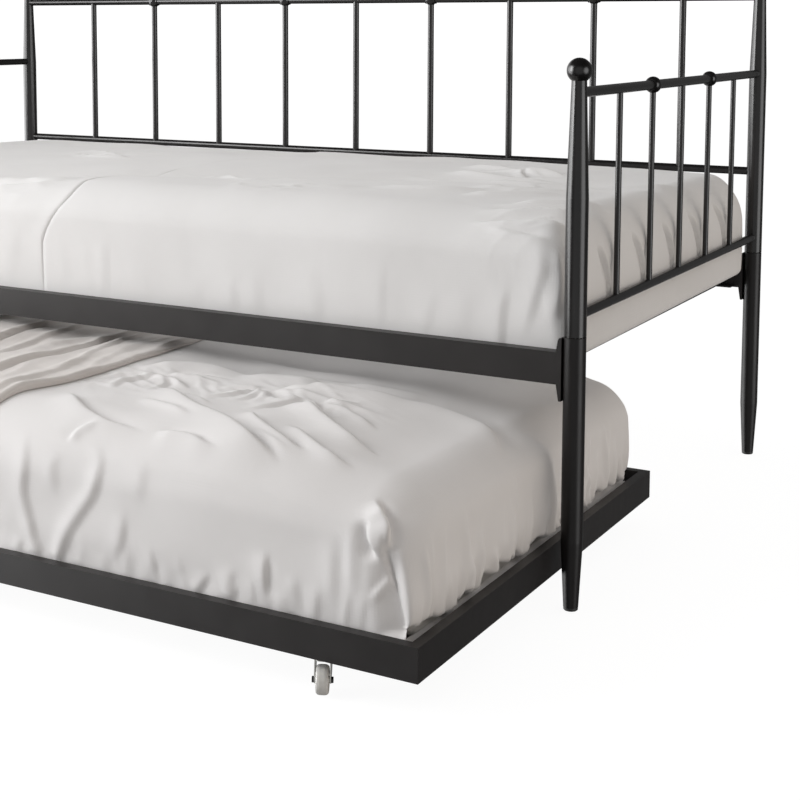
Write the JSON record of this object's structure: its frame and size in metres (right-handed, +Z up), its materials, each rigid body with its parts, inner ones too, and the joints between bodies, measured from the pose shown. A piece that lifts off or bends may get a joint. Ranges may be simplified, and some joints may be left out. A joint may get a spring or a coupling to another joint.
{
  "type": "trundle bed",
  "caption": "Twin metal daybed with spindle back and sides, ball finials and a wheeled trundle bed that rolls out from under its front rail, both with mattresses.",
  "frame": {"origin": "on the floor, at the centre of the outline of the whole object with the trundle half out; the bed's own middle is 225.9 mm towards +Y from it", "axes": "+X along the bed to the right as seen from the front, +Y towards the back panel, +Z up; the trundle rolls out towards -Y"},
  "size_m": [1.978, 1.4898, 0.999],
  "materials": {
    "powder_coat": "black satin powder coat on steel tube",
    "zinc_steel": "bright zinc-plated steel",
    "axle_steel": "dark zinc-plated steel",
    "nylon": "pale grey moulded nylon",
    "black_plastic": "black moulded plastic",
    "upper_sheet": "off-white cotton sheet over a foam mattress",
    "lower_sheet": "off-white crumpled cotton sheet over a foam mattress",
    "blanket": "grey-beige brushed cotton blanket"
  },
  "bodies": {
    "bed": {"post_front_left": "powder_coat", "post_front_right": "powder_coat", "post_back_left": "powder_coat", "post_back_right": "powder_coat", "leg_front_left": "powder_coat", "leg_front_right": "powder_coat", "leg_back_left": "powder_coat", "leg_back_right": "powder_coat", "finial_front_left": "powder_coat", "finial_front_right": "powder_coat", "finial_back_left": "powder_coat", "finial_back_right": "powder_coat", "leg_sleeves": "zinc_steel", "foot_glides": "black_plastic", "side_top_bar_left": "powder_coat", "side_top_bar_right": "powder_coat", "side_bottom_bar_left": "powder_coat", "side_bottom_bar_right": "powder_coat", "side_spindles_left": "powder_coat", "side_spindles_right": "powder_coat", "side_knuckles": "powder_coat", "back_top_bar": "powder_coat", "back_bottom_bar": "powder_coat", "back_spindles": "powder_coat", "back_knuckles": "powder_coat", "panel_studs": "zinc_steel", "front_rail": "powder_coat", "back_rail": "powder_coat", "front_ledge": "powder_coat", "back_ledge": "powder_coat", "rail_brackets": "powder_coat", "bracket_bolts": "zinc_steel", "slats": "powder_coat", "slat_screws": "zinc_steel", "mattress": "upper_sheet"},
    "trundle": {"trundle_front_rail": "powder_coat", "trundle_back_rail": "powder_coat", "trundle_left_rail": "powder_coat", "trundle_right_rail": "powder_coat", "trundle_ledges": "powder_coat", "trundle_slats": "powder_coat", "trundle_mattress": "lower_sheet", "trundle_blanket": "blanket", "caster_plates": "powder_coat", "caster_stems": "zinc_steel", "caster_nuts": "zinc_steel", "caster_balls": "zinc_steel"},
    "swivel_front_left": {"fork_front_left": "zinc_steel", "axle_front_left": "axle_steel"},
    "roller_front_left": {"wheel_front_left": "nylon"},
    "swivel_front_right": {"fork_front_right": "zinc_steel", "axle_front_right": "axle_steel"},
    "roller_front_right": {"wheel_front_right": "nylon"},
    "swivel_back_left": {"fork_back_left": "zinc_steel", "axle_back_left": "axle_steel"},
    "roller_back_left": {"wheel_back_left": "nylon"},
    "swivel_back_right": {"fork_back_right": "zinc_steel", "axle_back_right": "axle_steel"},
    "roller_back_right": {"wheel_back_right": "nylon"}
  },
  "joints": [
    {"name": "trundle_slide", "type": "slide", "parent": "bed", "child": "trundle", "axis": [0, -1, 0], "range_m": [-0.455, 0.46]},
    {"name": "caster_swivel_front_left", "type": "hinge", "parent": "trundle", "child": "swivel_front_left", "pos_m": [-0.788, -0.71211, 0.046], "axis": [0, 0, 1], "continuous": true},
    {"name": "wheel_roll_front_left", "type": "hinge", "parent": "swivel_front_left", "child": "roller_front_left", "pos_m": [-0.78186, -0.72469, 0.02], "axis": [0.8988, 0.4384, 0], "continuous": true},
    {"name": "caster_swivel_front_right", "type": "hinge", "parent": "trundle", "child": "swivel_front_right", "pos_m": [0.788, -0.71211, 0.046], "axis": [0, 0, 1], "continuous": true},
    {"name": "wheel_roll_front_right", "type": "hinge", "parent": "swivel_front_right", "child": "roller_front_right", "pos_m": [0.79414, -0.72469, 0.02], "axis": [0.8988, 0.4384, 0], "continuous": true},
    {"name": "caster_swivel_back_left", "type": "hinge", "parent": "trundle", "child": "swivel_back_left", "pos_m": [-0.788, 0.13989, 0.046], "axis": [0, 0, 1], "continuous": true},
    {"name": "wheel_roll_back_left", "type": "hinge", "parent": "swivel_back_left", "child": "roller_back_left", "pos_m": [-0.78186, 0.12731, 0.02], "axis": [0.8988, 0.4384, 0], "continuous": true},
    {"name": "caster_swivel_back_right", "type": "hinge", "parent": "trundle", "child": "swivel_back_right", "pos_m": [0.788, 0.13989, 0.046], "axis": [0, 0, 1], "continuous": true},
    {"name": "wheel_roll_back_right", "type": "hinge", "parent": "swivel_back_right", "child": "roller_back_right", "pos_m": [0.79414, 0.12731, 0.02], "axis": [0.8988, 0.4384, 0], "continuous": true}
  ]
}
